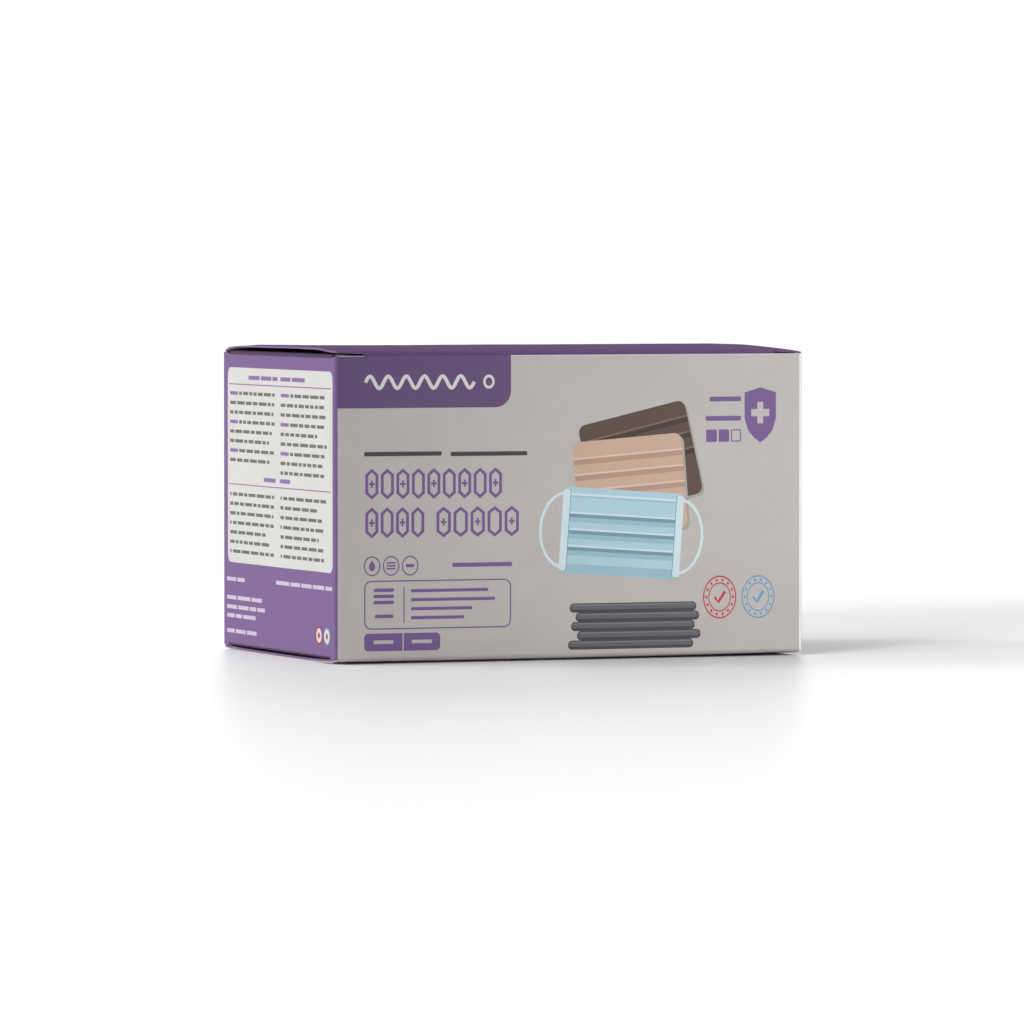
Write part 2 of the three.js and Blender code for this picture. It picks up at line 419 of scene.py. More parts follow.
def layered_picture():
    """Three fanned layers of a mask over a pile of folded ones."""
    shapes = fanned_layer(("brown_ink", "brown_light_ink", "brown_dark_ink"), 101.5, 61.0, 13.0)
    shapes += fanned_layer(("tan_ink", "tan_light_ink", "tan_dark_ink"), 98.0, 53.0, 4.5)
    shapes += pleated_mask(95.0, 38.0, -4.0)
    pile = [(77.0, 119.5), (80.0, 122.0), (78.0, 120.0), (79.5, 121.5), (77.5, 120.5)]
    thick = 2.9
    for layer, (left, right) in enumerate(pile):
        low = 1.7 + thick * layer
        shapes.append(("slate_dark_ink", rectangle(left, low, right, low + thick, 1.3)))
        shapes.append(("slate_ink", rectangle(left + 0.3, low + 0.9, right - 0.3, low + 2.6, 0.8)))
        shapes.append(("slate_light_ink", rectangle(left + 1.2, low + 2.1, right - 1.2, low + 2.45)))
    return shapes


def icon_row():
    """Three ringed signs: a drop, a pleated rectangle and a single bar."""
    shapes = []
    height, half_wide, half_tall = 28.9, 2.75, 3.1
    centres = (11.5, 17.8, 24.1)
    for x in centres:
        shapes.append(("title_ink", oval(x, height, half_wide, half_tall)))
        shapes.append(("grey_ink", oval(x, height, half_wide - 0.4, half_tall - 0.42)))
    side = [(0.9, 0.4), (1.05, -0.5), (0.6, -1.3)]
    drop = mirrored(side) + [(0, -1.55)] + side[::-1] + [(0, 1.9)]
    shapes.append(("title_ink", placed(drop, centres[0], height)))
    for line in (-1.1, -0.2, 0.7):
        strip = rectangle(centres[1] - 1.5, height + line, centres[1] + 1.5, height + line + 0.5)
        shapes.append(("title_ink", strip))
    shapes.append(("title_ink", centred(centres[2], height, 1.4, 0.5, 0.3)))
    return shapes


def wave(left, right, height, rise, turns):
    """The middle line of an even wave."""
    steps = 12 * turns
    shares = [step / steps for step in range(steps + 1)]
    return [
        (lerp(left, right, share), height + rise * math.sin(2 * math.pi * turns * share))
        for share in shares
    ]


def cell_row(left, right, height, count):
    """A row of tall six-sided cells in outline. Every other one has a plus sign in it."""
    shapes, pitch = [], (right - left) / count
    half_wide, half_tall, line = 0.42 * pitch, 4.8, 0.95
    for place in range(count):
        x = left + pitch * (place + 0.5)
        for ink, grow in (("title_ink", 0.0), ("grey_ink", line)):
            wide, tall = half_wide - grow, half_tall - 1.2 * grow
            shoulder = half_tall * 0.62 - 0.45 * grow
            side = [(wide, -shoulder), (wide, shoulder), (0, tall)]
            cell = [(0, -tall)] + side + mirrored(side[1::-1])
            shapes.append((ink, placed(cell, x, height)))
        if place % 2 == 0:
            shapes += [("title_ink", centred(x, height, *arm)) for arm in ((0.95, 0.32), (0.32, 1.15))]
    return shapes


TAB_RIGHT = 57.8


def front_prints():
    purple, paper, dark = "title_ink", "grey_ink", "charcoal_ink"
    left = 8.9
    tab = rectangle(-3, 77.8, TAB_RIGHT, HEIGHT + 3, 5.2, (False, True, False, False))
    shapes = [("purple_ink", tab)]
    shapes.append(("light_ink", band(wave(left + 0.5, 45.5, 85.8, 1.9, 6), 1.15)))
    shapes.append(("light_ink", oval(50.4, 85.8, 1.9, 2.2)))
    shapes.append(("purple_ink", oval(50.4, 85.8, 1.1, 1.3)))
    shapes += [bar(dark, left, 34.6, 63.6, 1.35), bar(dark, 37.6, 63.2, 63.4, 1.35)]
    shapes += cell_row(left, 55.1, 54.3, 9)
    shapes += cell_row(left, 29.2, 42.3, 4) + cell_row(32.4, 60.8, 42.3, 5)
    shapes += icon_row()
    shapes.append(bar(purple, 38.1, 58.1, 28.9, 1.3))
    shapes += framed(purple, paper, left, 9.2, 57.8, 24.4, 2.4, 0.42)
    shapes.append((purple, rectangle(21.9, 11.2, 22.25, 22.4)))
    for step in range(3):
        shapes.append((purple, centred(15.4, 17.6 + 1.9 * step, 3.4, 0.55, 0.5)))
    shapes.append(bar(purple, 12.5, 18.5, 13.3, 1.1))
    for row, right in enumerate((50.1, 52.4, 44.8, 42.1)):
        shapes.append(bar(purple, 24.4, right, 21.1 - 2.8 * row, 1.0))
    shapes.append((purple, rectangle(left, 2.5, 34.1, 8.0, 1.3)))
    shapes.append((paper, rectangle(21.6, 2.5, 22.0, 8.0)))
    shapes += [bar(paper, 12.0, 18.6, 5.3, 1.1), bar(paper, 24.6, 31.4, 5.3, 1.1)]
    shapes += layered_picture()
    shapes += [bar(purple, 125.0, 135.8, 79.8, 1.5), bar(purple, 123.6, 135.8, 73.7, 1.5)]
    shapes.append((purple, rectangle(123.8, 66.3, 127.5, 70.2, 0.3)))
    shapes.append((purple, rectangle(128.1, 66.3, 131.7, 70.2, 0.3)))
    shapes += framed(purple, paper, 132.3, 66.3, 135.8, 70.2, 0.4, 0.38)
    shapes += shield(142.4, 74.8)
    shapes += rosette("red_ink", paper, 128.5, 17.4, 5.7, 6.8, "red_ink")
    shapes += rosette("blue_ink", paper, 141.7, 17.3, 5.7, 6.8, "blue_ink")
    # Painted highlight: a near-white strip along the right crease, where it catches the light.
    shapes.append(("corner_painted_highlight_ink", rectangle(WIDTH - 1.1, -3, WIDTH + 3, HEIGHT + 3)))
    return shapes


def shield(x, y):
    """A plain shield with a plus sign left open in it."""
    half, top, shoulder, tip = 5.4, 8.6, -1.2, -8.8
    side = [(half, top - 1.6), (half, shoulder), (0.78 * half, -4.9), (0.42 * half, -7.2), (0, tip)]
    outline = [(0, top)] + mirrored(side) + side[-2::-1]
    shapes = [("title_ink", placed(outline, x, y))]
    shapes += [("grey_ink", centred(x, y + 0.6, *arm)) for arm in ((1.0, 3.4), (3.1, 1.15))]
    return shapes


Column = namedtuple("Column", "left right lines first lead")

# The label's two headers: their height, the height of the rule under them, and their reach from the middle
LABEL_HEADERS = [(86.0, 83.6, 28.0), (53.9, 51.6, 13.0)]

# Its columns of small print. first is the height of a column's first line, and lead the length of the
# coloured bar that every third line begins with.
LABEL_COLUMNS = [
    Column(6.8, 50.5, 8, 80.9, 7.5),
    Column(54.5, 96.0, 9, 80.9, 7.5),
    Column(6.8, 49.5, 7, 48.6, 1.5),
    Column(54.5, 96.0, 7, 48.6, 1.5),
]
LABEL_LINE_STEP = 3.05

# The lines of small print under the label: left, right and height
END_LINES = [
    (3.6, 24.5, 21.3),
    (50.0, 100.5, 21.8),
    (3.6, 37.0, 15.4),
    (3.6, 39.5, 12.4),
    (3.6, 32.0, 9.6),
    (3.6, 31.5, 4.7),
]


def end_prints():
    """The left end wall: a pale label with two columns of small print, and a few lines under it."""
    draw = random.Random(7)
    shapes = [("label_ink", rectangle(4.6, 26.7, 101.0, 89.1, 2.6))]
    for height, rule, reach in LABEL_HEADERS:
        shapes += words("label_purple_ink", 52.2 - reach, 51.4, height, 1.3, draw, 9, 14)
        shapes += words("label_purple_ink", 54.0, 53.2 + reach, height, 1.3, draw, 9, 14)
        shapes.append(("label_purple_ink", rectangle(6.0, rule, 99.4, rule + 0.35)))
    for left, right, lines, first, lead in LABEL_COLUMNS:
        for line in range(lines):
            start = left
            height = first - LABEL_LINE_STEP * line
            if line % 3 == 0:
                bullet = rectangle(left, height - 0.55, left + lead, height + 0.55)
                shapes.append(("label_purple_ink", bullet))
                start = left + lead + 1.2
            end = right - draw.uniform(0, 9 if line % 3 else 3)
            shapes += words("label_grey_ink", start, end, height, 1.05, draw, 2.5, 7.5)
    for left, right, height in END_LINES:
        shapes += words("end_light_ink", left, right, height, 1.25, draw, 6, 13)
    for x, ink in ((88.8, "red_ink"), (95.9, "blue_ink")):
        shapes.append((ink, oval(x, 6.9, 2.9, 2.9, 24)))
        shapes.append(("label_ink", oval(x, 6.9, 2.3, 2.3, 24)))
        shapes.append(("red_ink", oval(x, 6.9, 0.95, 0.95, 16)))
    # Painted shade: a darker purple strip along the front crease, where the wall turns away from the light.
    shapes.append(("corner_painted_shade_ink", rectangle(DEPTH - 2.2, -3, DEPTH + 3, HEIGHT + 3)))
    return shapes


# Sheets of board

LONGEST_SIDE = 4.0  # of an outline, before points are added along it
LONGEST_LINE = 3.0  # the same for a line that only shapes the sheet


def is_counterclockwise(points):
    following = points[1:] + points[:1]
    return sum(a[0] * b[1] - b[0] * a[1] for a, b in zip(points, following)) > 0


def stops(start, end, longest):
    """Even points from start up to but not including end."""
    parts = max(1, math.ceil(math.dist(start, end) / longest - 0.01))
    return [tuple(lerp(a, b, step / parts) for a, b in zip(start, end)) for step in range(parts)]


def divided(outline, longest):
    """The outline with points added along its long sides."""
    return [
        point
        for start, end in zip(outline, outline[1:] + outline[:1])
        for point in stops(start, end, longest)
    ]


def partition(outline, shapes, lines, spacing):
    """Triangles of an outline, cut along the shapes printed on it, and which shape is topmost on each."""
    points, edges, faces = [], [], []
    for ring in [outline] + [shape for _, shape in shapes]:
        ring = list(ring) if is_counterclockwise(ring) else list(ring)[::-1]
        faces.append(list(range(len(points), len(points) + len(ring))))
        points += [Vector(point) for point in ring]
    for start, end in lines:
        line = stops(start, end, LONGEST_LINE) + [end]
        edges += [(len(points) + step, len(points) + step + 1) for step in range(len(line) - 1)]
        points += [Vector(stop) for stop in line]
    low = [min(point[axis] for point in outline) for axis in (0, 1)]
    high = [max(point[axis] for point in outline) for axis in (0, 1)]
    counts = [max(1, round((high[axis] - low[axis]) / spacing)) for axis in (0, 1)]
    for column in range(1, counts[0]):
        for row in range(1, counts[1]):
            share = (column / counts[0], row / counts[1])
            points.append(Vector([lerp(low[axis], high[axis], share[axis]) for axis in (0, 1)]))
    made, _, triangles, _, _, owners = delaunay_2d_cdt(points, edges, faces, 1, 1e-4, True)
    kept = [(triangle, max(owner)) for triangle, owner in zip(triangles, owners) if 0 in owner]
    used = sorted({corner for triangle, _ in kept for corner in triangle})
    index = {corner: place for place, corner in enumerate(used)}
    return (
        [tuple(made[corner]) for corner in used],
        [tuple(index[corner] for corner in triangle) for triangle, _ in kept],
        [owner for _, owner in kept],
    )


def piece(name, points, faces, inks, body, replaced=()):
    """A mesh object in the row frame. inks is one material for each face."""
    mesh = bpy.data.meshes.new(name)
    mesh.from_pydata([Vector(point) * MM for point in points], [], faces)
    slots = list(dict.fromkeys(ink.name for ink in inks))
    for ink in slots:
        mesh.materials.append(bpy.data.materials[ink])
    mesh.polygons.foreach_set("material_index", [slots.index(ink.name) for ink in inks])
    mesh.polygons.foreach_set("use_smooth", [True] * len(faces))
    work = bmesh.new()
    work.from_mesh(mesh)
    bmesh.ops.recalc_face_normals(work, faces=work.faces)
    work.to_mesh(mesh)
    work.free()
    mesh.set_sharp_from_angle(angle=math.radians(38))
    made = bpy.data.objects.new(name, mesh)
    bpy.context.scene.collection.objects.link(made)
    if replaced:
        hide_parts(*replaced)
    if isinstance(body, str):
        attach(made, body)
    return made


def sheet(
    name, outline, ground, shapes, place, body, lines=(), spacing=5.0,
    edge=(0.5, None, RAW), replaced=(),
):
    """A closed sheet of board. place(across, along, depth) gives a point at a depth under the printed face.
    edge is the share of the cut edge where its finish changes, and its two finishes from the printed face on.
    None stands for the print's own ink."""
    shapes = [(ink, divided(shape, LONGEST_SIDE)) for ink, shape in shapes]
    points, triangles, owners = partition(divided(outline, LONGEST_SIDE), shapes, lines, spacing)
    count = len(points)
    inks = [INKS[ground]] + [INKS[ink] for ink, _ in shapes]
    change, outer_edge, inner_edge = edge
    placed_points = [place(*point, BOARD * depth) for depth in (0.0, change, 1.0) for point in points]
    faces = [tuple(triangle) for triangle in triangles]
    face_inks = [inks[owner] for owner in owners]
    faces += [tuple(corner + 2 * count for corner in reversed(triangle)) for triangle in triangles]
    face_inks += [INSIDE] * len(triangles)
    sides = {}
    for triangle, owner in zip(triangles, owners):
        for a, b in zip(triangle, triangle[1:] + triangle[:1]):
            sides[(a, b)] = owner
    for (a, b), owner in sides.items():
        if (b, a) in sides:
            continue
        for layer, ink in ((0, outer_edge or inks[owner]), (1, inner_edge or inks[owner])):
            near, far = layer * count, (layer + 1) * count
            faces.append((b + near, a + near, a + far, b + far))
            face_inks.append(ink)
    used = sorted({corner for face in faces for corner in face})
    index = {corner: place_of for place_of, corner in enumerate(used)}
    return piece(
        name,
        [placed_points[corner] for corner in used],
        [tuple(index[corner] for corner in face) for face in faces],
        face_inks,
        body,
        replaced,
    )


def crease(name, stations, start, end, axis, ink):
    """A strip of board bent from the edge of one body's sheet to the edge of another's.
    start and end give a point and the direction of the sheet there, at a station along the crease."""
    rows, starts, ends = [], [], []
    for station in stations:
        (first, leaving), (last, arriving) = start(station), end(station)
        reach = (last - first).length * 1.2
        row = []
        for step in range(CREASE_STEPS + 1):
            t = step / CREASE_STEPS
            point = (
                first * (2 * t**3 - 3 * t**2 + 1)
                + leaving * reach * (t**3 - 2 * t**2 + t)
                + last * (3 * t**2 - 2 * t**3)
                + arriving * reach * (t**3 - t**2)
            )
            tangent = (
                (first - last) * (6 * t**2 - 6 * t)
                + leaving * reach * (3 * t**2 - 4 * t + 1)
                + arriving * reach * (3 * t**2 - 2 * t)
            )
            normal = tangent.cross(axis).normalized()
            dent = GROOVE * math.exp(-(((t - 0.5) / GROOVE_SHARE) ** 2))
            row.append((point - normal * dent, point - normal * BOARD))
        rows.append(row)
        starts += row[0]
        ends += row[-1]
    columns = CREASE_STEPS + 1
    points = [point for row in rows for pair in row for point in pair]

    def at(row, step, layer):
        return 2 * (row * columns + step) + layer

    faces, inks = [], []
    for row in range(len(rows) - 1):
        for step in range(CREASE_STEPS):
            corners = ((row, step), (row, step + 1), (row + 1, step + 1), (row + 1, step))
            faces.append(tuple(at(*corner, 0) for corner in corners))
            faces.append(tuple(at(*corner, 1) for corner in reversed(corners)))
            inks += [INKS[ink], INSIDE]
        for step in (0, CREASE_STEPS):
            faces.append((at(row, step, 0), at(row, step, 1), at(row + 1, step, 1), at(row + 1, step, 0)))
            inks.append(RAW)
    for row in (0, len(rows) - 1):
        for step in range(CREASE_STEPS):
            faces.append((at(row, step, 0), at(row, step + 1, 0), at(row, step + 1, 1), at(row, step, 1)))
            inks.append(INKS[ink])
    made = piece(name, points, faces, inks, None)
    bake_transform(made)
    return made


def spread(half, steps):
    """Stations from -half to half, closer together towards both ends."""
    return [half * math.sin(math.pi / 2 * (2 * step / steps - 1)) for step in range(steps + 1)]


# The sleeve

WALL_RIPPLE = 0.16
WALL_RIPPLE_LENGTH = 26.0
SLIT_EDGE_WEAR_AND_HIGHLIGHT = -69.5  # up to here a pale band runs along the top edge beside the left slit: partly flaked ink, partly painted highlight


def wall(centre, along, out, half_left, half_right, swell):
    """Maps a place on a wall's sheet to a point. across is 0 at the wall's middle. Past half_left or
    half_right the sheet turns round a vertical crease. After a quarter turn it runs on straight, inside."""

    def place(across, height, depth):
        half = half_right if across > 0 else half_left
        side = math.copysign(1.0, across)
        past = max(0.0, abs(across) - half)
        turn = min(past / CREASE_RADIUS, math.pi / 2)
        run = max(0.0, past - CREASE_RADIUS * math.pi / 2)
        reach = side * (min(abs(across), half) + (CREASE_RADIUS - depth) * math.sin(turn))
        back = (CREASE_RADIUS - depth) * math.cos(turn) - CREASE_RADIUS - run
        from_middle = 2 * (height - BOTTOM) / HEIGHT - 1
        fade = max(0.0, 1 - (across / half) ** 2) * max(0.0, 1 - from_middle**2)
        ripple = noise.noise(Vector((across, height, 10 * out.x + 20 * out.y)) / WALL_RIPPLE_LENGTH)
        out_by = back + fade * (swell + WALL_RIPPLE * ripple)
        return centre + along * reach + out * out_by + UP * height

    return place


def crease_lines(half, low, high, side):
    """Vertical lines on a sheet that keep its rounded crease round."""
    quarter = CREASE_RADIUS * math.pi / 4
    return [
        ((side * (half + quarter * step / 5), low - 1), (side * (half + quarter * step / 5), high + 1))
        for step in range(5)
    ]


def on_wall(shapes, length):
    """Prints given from a wall's lower left corner, moved to the wall's own middle and height."""
    return [(ink, [(x - length / 2, y + BOTTOM) for x, y in points]) for ink, points in shapes]


def flaked_edge_and_highlight(left, right, height, deep, seed):
    """A pale band of raw board along a cut edge, with an uneven lower side: partly flaked ink, partly painted
    highlight of light catching the edge.
    """
    draw = random.Random(seed)
    steps = int((right - left) / 1.5)
    lower = [
        (lerp(left, right, step / steps), height - deep * draw.uniform(0.7, 1.25))
        for step in range(steps + 1)
    ]
    return ("raw", lower + [(right, height + 1), (left, height + 1)])


def make_sleeve():
    quarter = CREASE_RADIUS * math.pi / 4
    wide, deep = WIDTH / 2 - CREASE_RADIUS, DEPTH / 2 - CREASE_RADIUS
    low, high = BOTTOM, TOP
    end_low, end_high = BOTTOM + DUST_INSET, TOP - DUST_INSET

    edge = wide + quarter
    outline = [(-edge, low), (-wide, low), (-wide, low + CREASE_INSET), (wide, low + CREASE_INSET)]
    outline += [(wide, low), (edge, low), (edge, high), (-edge, high)]
    prints = on_wall(front_prints(), WIDTH)
    # Pale bands along the top edge: partly flaked ink, partly painted highlight.
    prints.append(flaked_edge_and_highlight(-edge, SLIT_EDGE_WEAR_AND_HIGHLIGHT, high, 0.14, 1))
    prints.append(flaked_edge_and_highlight(TAB_RIGHT - WIDTH / 2, edge, high, 0.27, 3))
    sheet(
        "front_wall", outline, "grey_ink", prints,
        wall(Vector((0, -DEPTH / 2, 0)), Vector((1, 0, 0)), Vector((0, -1, 0)), wide, wide, 0.25),
        "sleeve", crease_lines(wide, low, high, -1) + crease_lines(wide, low, high, 1),
        replaced=("sleeve",),
    )

    edge = deep + quarter
    hinge_edge, tuck_edge = DUST_HINGE_EDGE, -DUST_TUCK_EDGE
    outline = [(-edge, low), (-tuck_edge, low), (-tuck_edge, end_low), (hinge_edge, end_low)]
    outline += [(hinge_edge, low), (edge, low), (edge, high), (deep, high - 0.1)]
    outline += [(tuck_edge, end_high + 0.2), (tuck_edge, end_high), (-hinge_edge, end_high)]
    outline += [(-hinge_edge, end_high + 0.2), (-deep, high - 0.1), (-edge, high)]
    sheet(
        "left_end_wall", outline, "end_purple_ink", on_wall(end_prints(), DEPTH),
        wall(Vector((-WIDTH / 2, 0, 0)), Vector((0, -1, 0)), Vector((-1, 0, 0)), deep, deep, 0.2),
        "sleeve", crease_lines(deep, low, high, -1) + crease_lines(deep, low, high, 1),
    )

    far = DEPTH / 2
    outline = [(-edge, low), (-hinge_edge, low), (-hinge_edge, end_low), (tuck_edge, end_low)]
    outline += [(tuck_edge, low), (far, low), (far, high), (hinge_edge, high), (hinge_edge, end_high)]
    outline += [(-tuck_edge, end_high), (-tuck_edge, high), (-edge, high)]
    sheet(
        "right_end_wall", outline, "end_purple_ink", [],
        wall(Vector((WIDTH / 2, 0, 0)), Vector((0, 1, 0)), Vector((1, 0, 0)), deep, far, 0.2),
        "sleeve", crease_lines(deep, low, high, -1),
    )

    left = WIDTH / 2 - BOARD - CREASE_RADIUS  # up to the crease of the glue flap, inside the right end wall
    flap = -left - 2 * quarter
    back_high = high - CREASE_INSET
    outline = [(flap - GLUE_RUN, low + GLUE_INSET + GLUE_TAPER), (flap, low + GLUE_INSET), (-left, low)]
    outline += [(wide + quarter, low), (wide + quarter, back_high), (-left, back_high)]
    outline += [(flap, high - GLUE_INSET), (flap - GLUE_RUN, high - GLUE_INSET - GLUE_TAPER)]
    turns = [-left - 2 * quarter * step / 9 for step in range(10)]
    lines = [((across, low - 1), (across, high + 1)) for across in turns]
    sheet(
        "back_wall", outline, "grey_ink", [],
        wall(Vector((0, DEPTH / 2, 0)), Vector((-1, 0, 0)), Vector((0, 1, 0)), left, wide, 0.2),
        "sleeve", lines + crease_lines(wide, low, high, 1),
    )


# The lid and the base

PANEL_RIPPLE = 0.07
PANEL_RIPPLE_LENGTH = 24.0
PANEL_RIPPLE_FADE = 12
SLOPE_STEP = 0.05


def through(sections, name, along):
    """The curve through the sections' values of one name, without overshoot."""
    places = [section.along for section in sections]
    values = [getattr(section, name) for section in sections]
    if along >= places[-1]:
        return values[-1]
    if along <= places[0]:
        return values[0]
    last = max(index for index, place in enumerate(places[:-1]) if place <= along)
    slopes = [(b - a) / (q - p) for a, b, p, q in zip(values, values[1:], places, places[1:])]

    def bend(index):
        if index in (0, len(places) - 1):
            return slopes[0] if index == 0 else slopes[-1]
        before, after = slopes[index - 1], slopes[index]
        return 0.0 if before * after <= 0 else 2 * before * after / (before + after)

    span = places[last + 1] - places[last]
    t = (along - places[last]) / span
    return (
        values[last] * (2 * t**3 - 3 * t**2 + 1)
        + bend(last) * span * (t**3 - 2 * t**2 + t)
        + values[last + 1] * (3 * t**2 - 2 * t**3)
        + bend(last + 1) * span * (t**3 - t**2)
    )


def crown_height(sections, bulge, x, y):
    """Height of a panel's outer face above its creases."""
    along = (DEPTH / 2 - y) / (DEPTH / 2 - TUCK_CREASE)
    share = clamp(x / PANEL_HALF, -1.0, 1.0)
    middle = through(sections, "middle", along)
    end = through(sections, "left" if share < 0 else "right", along)
    droop = through(sections, "droop", along) * smooth(-x, PANEL_HALF - DROOP_RUN, PANEL_HALF)
    height = bulge * (middle + (end - middle) * abs(share) ** through(sections, "pull", along) - droop)
    ear = lerp(EAR_LIFT, EAR_REST, smooth(abs(x), PANEL_HALF - SLIT + 3, PANEL_HALF - 1.2))
    rest = ear * smooth(abs(x), PANEL_HALF - SLIT - 5, PANEL_HALF - SLIT) * smooth(-y, EAR_BEGINS, -ROLL_START)
    fade = smooth(abs(y), DEPTH / 2, DEPTH / 2 - PANEL_RIPPLE_FADE)
    ripple = noise.noise(Vector((x, y, bulge)) / PANEL_RIPPLE_LENGTH)
    return max(height, rest) + fade * PANEL_RIPPLE * ripple


class Closure:
    """A panel with its flaps and creases, made as a lid in a frame whose z is 0 at the creases and grows
    outwards, and whose hinge is at +DEPTH / 2. The base is turned over and moved to the bottom creases."""

    def __init__(self, sections, bulge, origin, turned, edge_swell):
        self.sections, self.bulge, self.edge_swell = sections, bulge, edge_swell
        self.turn = Matrix.Rotation(math.pi, 3, "X") if turned else Matrix.Identity(3)
        self.origin = UP * origin
        self.dust_crest = 0.0 if turned else DUST_CREST

    def world(self, point):
        return self.turn @ Vector(point) + self.origin

    def height(self, x, y):
        return crown_height(self.sections, self.bulge, x, y)

    def slope_along(self, x, y):
        return (self.height(x, y + SLOPE_STEP) - self.height(x, y - SLOPE_STEP)) / (2 * SLOPE_STEP)

    def panel_place(self, x, y, depth):
        depth *= 1 + self.edge_swell * smooth(abs(x), PANEL_HALF - 0.9, PANEL_HALF - 0.2)
        slope_x = (self.height(x + SLOPE_STEP, y) - self.height(x - SLOPE_STEP, y)) / (2 * SLOPE_STEP)
        normal = Vector((-slope_x, -self.slope_along(x, y), 1)).normalized()
        return self.world(Vector((x, y, self.height(x, y))) - normal * depth)

    def panel_edge(self, x, y):
        """The panel's outer point at its edge, and the sheet's direction there towards -Y."""
        direction = (self.turn @ Vector((0, -1, -self.slope_along(x, y)))).normalized()
        return self.world((x, y, self.height(x, y))), direction

    def tuck_place(self, x, down, depth):
        curl = 0.25 * smooth(down, 4.0, TUCK_LENGTH)
        y = TUCK_CREASE + down * math.sin(TUCK_TILT) + depth * math.cos(TUCK_TILT) + curl
        z = -down * math.cos(TUCK_TILT) + depth * math.sin(TUCK_TILT)
        return self.world((x, y, z))

    def dust_place(self, side):
        def place(reach, y, depth):
            share = clamp((DUST_HINGE_EDGE - y) / (DUST_HINGE_EDGE - DUST_TUCK_EDGE), 0, 1)
            rise = DUST_RISE * reach / DUST_LENGTH * math.sin(math.pi * share)
            crest = self.dust_crest * (1 - smooth(reach, *DUST_CREST_RUN))
            return self.world((side * (WIDTH / 2 - DUST_INSET - reach), y, rise + crest - depth))

        return place


def make_closure(closure, name, dust_name, ink, hinge_ink, dust_flap_shade_ink, edge, end_ink):
    """name is the panel's body, and dust_name begins the names of its dust flaps' bodies."""
    half, slit_end = PANEL_HALF + PANEL_OVERHANG, PANEL_HALF - SLIT
    hinge_half = WIDTH / 2 - CREASE_RADIUS
    hinge_y = DEPTH / 2 - CREASE_INSET
    ear_y = -DEPTH / 2
    hinge_stations, tuck_stations = spread(hinge_half, 64), spread(slit_end, 60)

    ear = [(slit_end + 0.1, ear_y + 0.5), (slit_end + 0.6, ear_y), (half - 0.7, ear_y), (half, ear_y + 0.8)]
    ear.append((half, hinge_y - 0.3))
    outline = [(x, ROLL_START) for x in tuck_stations] + ear
    outline += [(x, hinge_y) for x in reversed(hinge_stations)] + mirrored(ear[::-1])
    bent = [ROLL_START + step for step in (1.2, 2.6, 4.5)] + [hinge_y - step for step in (1.0, 2.2, 3.8)]
    rows = [((-half - 1, y), (half + 1, y)) for y in bent]
    bleed = [
        (end_ink, rectangle(-half - 1, ear_y + 2, -half + END_BLEED, hinge_y)),
        (end_ink, rectangle(half - END_BLEED, ear_y + 2, half + 1, hinge_y)),
        (hinge_ink, rectangle(-half + END_BLEED, hinge_y - HINGE_BLEED, half - END_BLEED, hinge_y + 1)),
    ]
    sheet(
        f"{name}_sheet", outline, ink, bleed, closure.panel_place, name, rows,
        spacing=3.0, edge=edge, replaced=(f"{name}_panel",),
    )

    lower_corners = (True, True, False, False)
    tuck_outline = rectangle(-TUCK_HALF, -TUCK_LENGTH, TUCK_HALF, -TUCK_TOP, TUCK_CORNER, lower_corners)
    sheet(
        f"{name}_tuck_sheet", tuck_outline, ink, [],
        lambda x, z, depth: closure.tuck_place(x, -z, depth), f"{name}_tuck",
        replaced=(f"{name}_tuck_flap",),
    )

    crease(
        f"{name}_hinge_crease", hinge_stations,
        lambda x: (closure.world((x, DEPTH / 2, -CREASE_INSET)), closure.turn @ UP),
        lambda x: closure.panel_edge(x, hinge_y),
        closure.turn @ Vector((1, 0, 0)), hinge_ink,
    )
    tuck_direction = closure.turn @ Vector((0, math.sin(TUCK_TILT), -math.cos(TUCK_TILT)))
    crease(
        f"{name}_tuck_crease", tuck_stations,
        lambda x: closure.panel_edge(x, ROLL_START),
        lambda x: (closure.tuck_place(x, TUCK_TOP, 0), tuck_direction),
        closure.turn @ Vector((1, 0, 0)), ink,
    )

    for side, side_name in ((-1, "left"), (1, "right")):
        place = closure.dust_place(side)
        start = CREASE_INSET + 0.2 - DUST_INSET
        end, corner = DUST_LENGTH, 2
        low, high = DUST_TUCK_EDGE + DUST_TAPER, DUST_HINGE_EDGE - DUST_TAPER
        outline = [(start, DUST_TUCK_EDGE), (DUST_SHOULDER, DUST_TUCK_EDGE), (end - corner, low)]
        outline += [(end, low + corner), (end, high - corner), (end - corner, high)]
        outline += [(DUST_SHOULDER, DUST_HINGE_EDGE), (start, DUST_HINGE_EDGE)]
        body = f"{dust_name}_{side_name}"
        # The margin beside the crease and the crease itself take the darker purple, painted shade of the gap
        # under the panel.
        bleed = [(dust_flap_shade_ink, rectangle(start - 1, -DEPTH, DUST_BLEED, DEPTH))]
        rows = [((reach, -DEPTH), (reach, DEPTH)) for reach in (2.0, 4.0, 6.0, 8.0, 10.0)]
        sheet(
            f"{body}_sheet", outline, "label_ink", bleed, place, body, rows,
            edge=(0.15, None, RAW), replaced=(f"{dust_name}_flap_{side_name}",),
        )
        crease(
            f"{body}_crease",
            [lerp(DUST_TUCK_EDGE, DUST_HINGE_EDGE, step / 24) for step in range(25)],
            lambda y, side=side: (closure.world((side * WIDTH / 2, y, -DUST_INSET)), closure.turn @ UP),
            lambda y, side=side, place=place: (place(start, y, 0), closure.turn @ Vector((-side, 0, 0))),
            closure.turn @ Vector((0, -side, 0)), dust_flap_shade_ink,
        )


# Stage

FLOOR_REACH = 12.0
FLOOR_SHADE = 0.3
FLOOR_GLOSS = 0.25
AMBIENT = 0.57
BACKDROP = 1.05

# The floor's soft lights: bearing, height and softness in degrees, and the share of the floor's brightness
SideLight = namedtuple("SideLight", "bearing height softness share")
FLOOR_SIDE_LIGHTS = [
    SideLight(-60, 16, 30, 0.05),
    SideLight(-90, 15, 30, 0.17),
    SideLight(-120, 14, 30, 0.09),
    SideLight(-150, 10, 24, 0.2),
]


